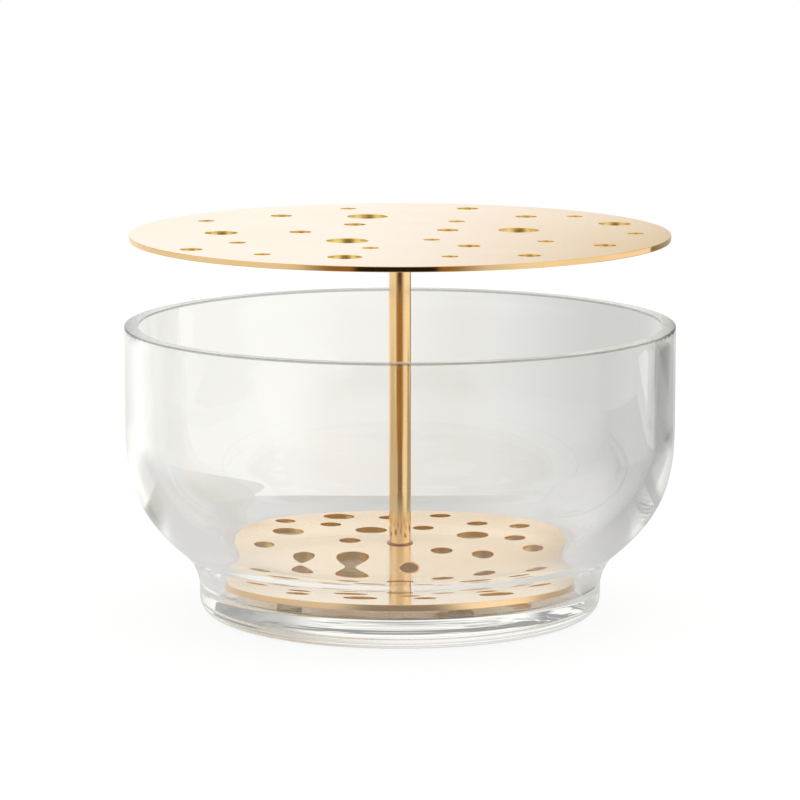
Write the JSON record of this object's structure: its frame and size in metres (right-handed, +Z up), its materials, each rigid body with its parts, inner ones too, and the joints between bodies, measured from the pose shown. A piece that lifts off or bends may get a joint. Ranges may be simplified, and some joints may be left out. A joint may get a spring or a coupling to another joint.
{
  "type": "ikebana vase",
  "caption": "Clear glass bowl on a short foot with a lift-out brass insert: two discs with scattered holes on a slim stem, which hold flower stems upright.",
  "frame": {"origin": "centre of the flat underside of the glass foot", "axes": "+Z up along the stem, +X to the right and +Y away from the viewer of the picture"},
  "size_m": [0.2, 0.2, 0.139],
  "materials": {
    "clear_glass": "clear polished soda glass",
    "brass": "fine satin polish",
    "clear_rubber": "clear soft silicone"
  },
  "bodies": {
    "bowl": {"glass_bowl": "clear_glass"},
    "insert_pivot": {"stem_screw": "brass"},
    "insert": {"stem": "brass", "upper_plate": "brass", "lower_plate": "brass", "bumper_pad_1": "clear_rubber", "bumper_pad_2": "clear_rubber", "bumper_pad_3": "clear_rubber"}
  },
  "joints": [
    {"name": "insert_lift", "type": "slide", "parent": "bowl", "child": "insert_pivot", "axis": [0, 0, 1], "range_m": [0, 0.12]},
    {"name": "insert_turn", "type": "hinge", "parent": "insert_pivot", "child": "insert", "pos_m": [0, 0, 0.014], "axis": [0, 0, 1], "continuous": true}
  ]
}
